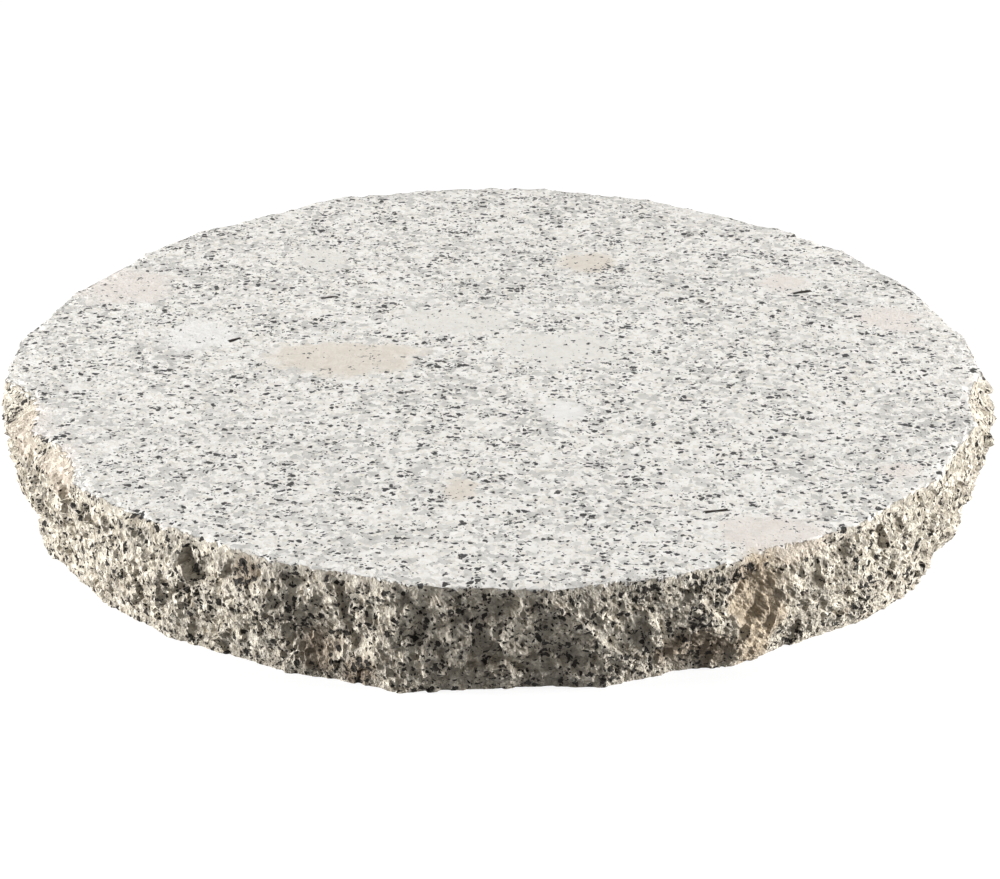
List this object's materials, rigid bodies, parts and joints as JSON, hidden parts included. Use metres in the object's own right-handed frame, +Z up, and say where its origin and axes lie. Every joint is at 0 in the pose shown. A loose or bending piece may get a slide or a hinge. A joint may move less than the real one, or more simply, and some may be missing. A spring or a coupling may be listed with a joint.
{
  "type": "granite paving slab",
  "caption": "Round granite stepping slab with a flat, rough-finished top, a flat bed and an edge split by hand all round.",
  "frame": {"origin": "centre of the slab's bed, the face it is laid on", "axes": "+Z up through the slab to its top, -Y towards the side seen in front, +X to that side's right"},
  "size_m": [0.3653, 0.3523, 0.04],
  "materials": {
    "granite": "flamed top, split edge, sawn bed"
  },
  "bodies": {
    "root": {"slab": "granite"}
  },
  "joints": []
}
